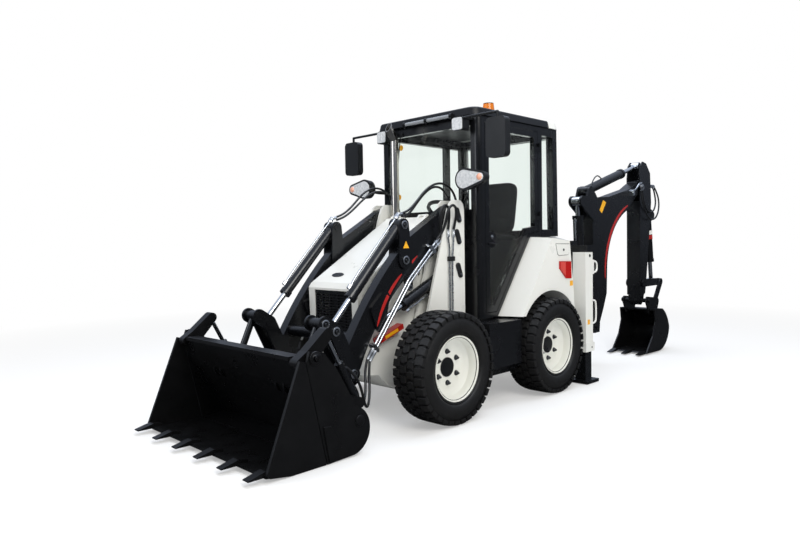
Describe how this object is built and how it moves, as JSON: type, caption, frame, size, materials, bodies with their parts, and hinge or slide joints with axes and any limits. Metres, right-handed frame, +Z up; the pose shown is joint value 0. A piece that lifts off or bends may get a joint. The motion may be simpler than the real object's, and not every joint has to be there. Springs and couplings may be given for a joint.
{
  "type": "backhoe loader",
  "caption": "Compact rigid-frame backhoe loader with a glazed cab, clam loader bucket on lift arms, folding side-shift backhoe and drop stabilizers.",
  "frame": {"origin": "middle of the bounding box, on the ground under the tyres", "axes": "+X forward towards the loader bucket, +Y to the machine's left, +Z up"},
  "size_m": [5.52, 1.736, 2.327],
  "materials": {
    "amber_lens": "amber lens",
    "black_paint": "satin black paint",
    "black_plastic": "matt black moulding",
    "cab_glazing": "clear green-grey glass",
    "clear_lens": "clear lens",
    "engine_metal": "cast engine metal",
    "red_lens": "red lens",
    "red_paint": "gloss red paint",
    "rim_paint": "gloss white rim paint",
    "rod_chrome": "polished rod",
    "seat_fabric": "black seat fabric",
    "tyre_rubber": "matt black tyre rubber",
    "white_paint": "gloss white paint"
  },
  "bodies": {
    "machine": {"chassis": "white_paint", "engine_block": "engine_metal", "side_panels": "white_paint", "exhaust": "rod_chrome", "cab_frame": "black_paint", "cab_roof": "black_plastic", "cab_glass": "cab_glazing", "rear_body": "white_paint", "operator_seat": "seat_fabric", "cab_controls": "black_plastic", "step_boxes": "black_paint", "axle_hubs": "black_paint", "rear_frame": "black_paint", "stabilizer_columns": "white_paint", "cab_fittings": "black_plastic", "amber_lamps": "amber_lens", "tail_lamps": "red_lens", "lamp_lenses": "clear_lens", "lock_bar": "red_paint", "roof_rear": "white_paint"},
    "hood": {"hood": "white_paint", "grille": "black_plastic"},
    "door": {"door_left": "black_paint", "door_glass": "cab_glazing"},
    "arms": {"loader_arms": "black_paint", "arm_pipes": "rod_chrome"},
    "lift_barrels": {"lift_barrels": "black_paint"},
    "lift_rods": {"lift_rods": "rod_chrome"},
    "bucket": {"bucket_shell": "black_paint"},
    "levers": {"tilt_levers": "black_paint"},
    "links": {"tilt_links": "black_paint"},
    "tilt_barrels": {"tilt_barrels": "black_paint"},
    "tilt_rods": {"tilt_rods": "rod_chrome"},
    "jaw": {"bucket_jaw": "black_paint"},
    "clam_barrels": {"clam_barrels": "black_paint"},
    "clam_rods": {"clam_rods": "rod_chrome"},
    "leg_left": {"stabilizer_left": "black_paint"},
    "leg_right": {"stabilizer_right": "black_paint"},
    "carriage": {"carriage": "black_paint"},
    "swing_post": {"swing_post": "black_paint"},
    "boom": {"boom": "black_paint"},
    "boom_barrel": {"boom_barrel": "black_paint"},
    "boom_rod": {"boom_rod": "rod_chrome"},
    "dipper": {"dipper": "black_paint"},
    "dipper_barrel": {"dipper_barrel": "black_paint"},
    "dipper_rod": {"dipper_rod": "rod_chrome"},
    "hoe_bucket": {"hoe_bucket": "black_paint"},
    "hoe_barrel": {"hoe_barrel": "black_paint"},
    "hoe_rod": {"hoe_rod": "rod_chrome"},
    "hoe_rocker": {"hoe_rocker": "black_paint"},
    "hoe_link": {"hoe_link": "black_paint"},
    "wheel_fl": {"tyre_fl": "tyre_rubber", "rim_fl": "rim_paint"},
    "wheel_fr": {"tyre_fr": "tyre_rubber", "rim_fr": "rim_paint"},
    "wheel_rl": {"tyre_rl": "tyre_rubber", "rim_rl": "rim_paint"},
    "wheel_rr": {"tyre_rr": "tyre_rubber", "rim_rr": "rim_paint"}
  },
  "joints": [
    {"name": "wheel_fl_spin", "type": "hinge", "parent": "machine", "child": "wheel_fl", "pos_m": [1.163, 0.646, 0.387], "axis": [0, 1, 0], "continuous": true},
    {"name": "wheel_fr_spin", "type": "hinge", "parent": "machine", "child": "wheel_fr", "pos_m": [1.163, -0.646, 0.387], "axis": [0, 1, 0], "continuous": true},
    {"name": "wheel_rl_spin", "type": "hinge", "parent": "machine", "child": "wheel_rl", "pos_m": [-0.092, 0.646, 0.387], "axis": [0, 1, 0], "continuous": true},
    {"name": "wheel_rr_spin", "type": "hinge", "parent": "machine", "child": "wheel_rr", "pos_m": [-0.092, -0.646, 0.387], "axis": [0, 1, 0], "continuous": true},
    {"name": "hood_hinge", "type": "hinge", "parent": "machine", "child": "hood", "pos_m": [0.833, 0, 1.451], "axis": [0, -1, 0], "range_deg": [0, 50]},
    {"name": "door_hinge", "type": "hinge", "parent": "machine", "child": "door", "pos_m": [-0.182, 0.545, 1.5], "axis": [0, 0, 1], "range_deg": [0, 100]},
    {"name": "arm_lift", "type": "hinge", "parent": "machine", "child": "arms", "pos_m": [0.768, 0, 1.478], "axis": [0, -1, 0], "range_deg": [0, 62]},
    {"name": "lift_barrel_swing", "type": "hinge", "parent": "machine", "child": "lift_barrels", "pos_m": [0.763, 0, 1.05], "axis": [0, -1, 0], "range_deg": [-0.5, 60.12]},
    {"name": "lift_rod_stroke", "type": "slide", "parent": "lift_barrels", "child": "lift_rods", "axis": [0.909, 0, -0.4169], "range_m": [-0.002, 0.4407]},
    {"name": "bucket_tilt", "type": "hinge", "parent": "arms", "child": "bucket", "pos_m": [1.993, 0, 0.2], "axis": [0, 1, 0], "range_deg": [-22, 45]},
    {"name": "lever_swing", "type": "hinge", "parent": "arms", "child": "levers", "pos_m": [1.813, 0, 0.411], "axis": [0, 1, 0], "range_deg": [-17.51, 35.3]},
    {"name": "link_swing", "type": "hinge", "parent": "levers", "child": "links", "pos_m": [2.038, 0, 0.75], "axis": [0, 1, 0], "range_deg": [-31.13, 15.48]},
    {"name": "tilt_barrel_swing", "type": "hinge", "parent": "arms", "child": "tilt_barrels", "pos_m": [1.313, 0, 1.368], "axis": [0, 1, 0], "range_deg": [-3.65, 2.04]},
    {"name": "tilt_rod_stroke", "type": "slide", "parent": "tilt_barrels", "child": "tilt_rods", "axis": [0.6902, 0, -0.7236], "range_m": [-0.08839, 0.17871]},
    {"name": "jaw_open", "type": "hinge", "parent": "bucket", "child": "jaw", "pos_m": [2.337, 0, 0.617], "axis": [0, -1, 0], "range_deg": [0, 55]},
    {"name": "clam_barrel_swing", "type": "hinge", "parent": "bucket", "child": "clam_barrels", "pos_m": [1.983, 0, 0.3], "axis": [0, -1, 0], "range_deg": [-5.97, 0.5]},
    {"name": "clam_rod_stroke", "type": "slide", "parent": "clam_barrels", "child": "clam_rods", "axis": [0.4674, 0, 0.884], "range_m": [-0.1552, 0.002]},
    {"name": "leg_left_slide", "type": "slide", "parent": "machine", "child": "leg_left", "axis": [0, 0, 1], "range_m": [-0.25, 0.2]},
    {"name": "leg_right_slide", "type": "slide", "parent": "machine", "child": "leg_right", "axis": [0, 0, 1], "range_m": [-0.25, 0.2]},
    {"name": "side_shift", "type": "slide", "parent": "machine", "child": "carriage", "axis": [0, 1, 0], "range_m": [-0.75, 0.05]},
    {"name": "hoe_swing", "type": "hinge", "parent": "carriage", "child": "swing_post", "pos_m": [-0.987, 0.354, 0.66], "axis": [0, 0, 1], "range_deg": [-85, 85]},
    {"name": "boom_lower", "type": "hinge", "parent": "swing_post", "child": "boom", "pos_m": [-1.337, 0.354, 0.385], "axis": [0, -1, 0], "range_deg": [0, 70]},
    {"name": "boom_barrel_swing", "type": "hinge", "parent": "swing_post", "child": "boom_barrel", "pos_m": [-1.167, 0.354, 0.64], "axis": [0, -1, 0], "range_deg": [-0.5, 79.48]},
    {"name": "boom_rod_stroke", "type": "slide", "parent": "boom_barrel", "child": "boom_rod", "axis": [0.0566, 0, 0.9984], "range_m": [-0.002, 0.31528]},
    {"name": "dipper_reach", "type": "hinge", "parent": "boom", "child": "dipper", "pos_m": [-2.337, 0.354, 1.8], "axis": [0, 1, 0], "range_deg": [-8, 95]},
    {"name": "dipper_barrel_swing", "type": "hinge", "parent": "boom", "child": "dipper_barrel", "pos_m": [-1.257, 0.354, 1.712], "axis": [0, 1, 0], "range_deg": [-7.5, 1.09]},
    {"name": "dipper_rod_stroke", "type": "slide", "parent": "dipper_barrel", "child": "dipper_rod", "axis": [-0.9603, 0, 0.2789], "range_m": [-0.32618, 0.0293]},
    {"name": "hoe_bucket_curl", "type": "hinge", "parent": "dipper", "child": "hoe_bucket", "pos_m": [-2.343, 0.354, 0.57], "axis": [0, -1, 0], "range_deg": [-40, 70]},
    {"name": "rocker_swing", "type": "hinge", "parent": "dipper", "child": "hoe_rocker", "pos_m": [-2.349, 0.354, 0.76], "axis": [0, -1, 0], "range_deg": [-25.94, 45.01]},
    {"name": "hoe_link_swing", "type": "hinge", "parent": "hoe_rocker", "child": "hoe_link", "pos_m": [-2.722, 0.354, 0.757], "axis": [0, -1, 0], "range_deg": [-31.74, 18.35]},
    {"name": "hoe_barrel_swing", "type": "hinge", "parent": "dipper", "child": "hoe_barrel", "pos_m": [-2.627, 0.354, 1.5], "axis": [0, -1, 0], "range_deg": [-3.93, 6.5]},
    {"name": "hoe_rod_stroke", "type": "slide", "parent": "hoe_barrel", "child": "hoe_rod", "axis": [-0.1268, 0, -0.9919], "range_m": [-0.1541, 0.26818]}
  ],
  "couplings": [
    {"joint": "lift_barrel_swing", "follows": "arm_lift", "ratio": 0.96168},
    {"joint": "lift_rod_stroke", "follows": "arm_lift", "m_per_rad": 0.40542},
    {"joint": "lever_swing", "follows": "bucket_tilt", "ratio": 0.77327},
    {"joint": "link_swing", "follows": "bucket_tilt", "ratio": -0.68072},
    {"joint": "tilt_barrel_swing", "follows": "bucket_tilt", "ratio": -0.07},
    {"joint": "tilt_rod_stroke", "follows": "bucket_tilt", "m_per_rad": 0.225},
    {"joint": "clam_barrel_swing", "follows": "jaw_open", "ratio": -0.09942},
    {"joint": "clam_rod_stroke", "follows": "jaw_open", "m_per_rad": -0.1596},
    {"joint": "boom_barrel_swing", "follows": "boom_lower", "ratio": 1.1283},
    {"joint": "boom_rod_stroke", "follows": "boom_lower", "m_per_rad": 0.25643},
    {"joint": "dipper_barrel_swing", "follows": "dipper_reach", "ratio": -0.07371},
    {"joint": "dipper_rod_stroke", "follows": "dipper_reach", "m_per_rad": -0.19551},
    {"joint": "rocker_swing", "follows": "hoe_bucket_curl", "ratio": 0.63588},
    {"joint": "hoe_link_swing", "follows": "hoe_bucket_curl", "ratio": -0.44622},
    {"joint": "hoe_barrel_swing", "follows": "hoe_bucket_curl", "ratio": 0.08569},
    {"joint": "hoe_rod_stroke", "follows": "hoe_bucket_curl", "m_per_rad": 0.21787}
  ]
}
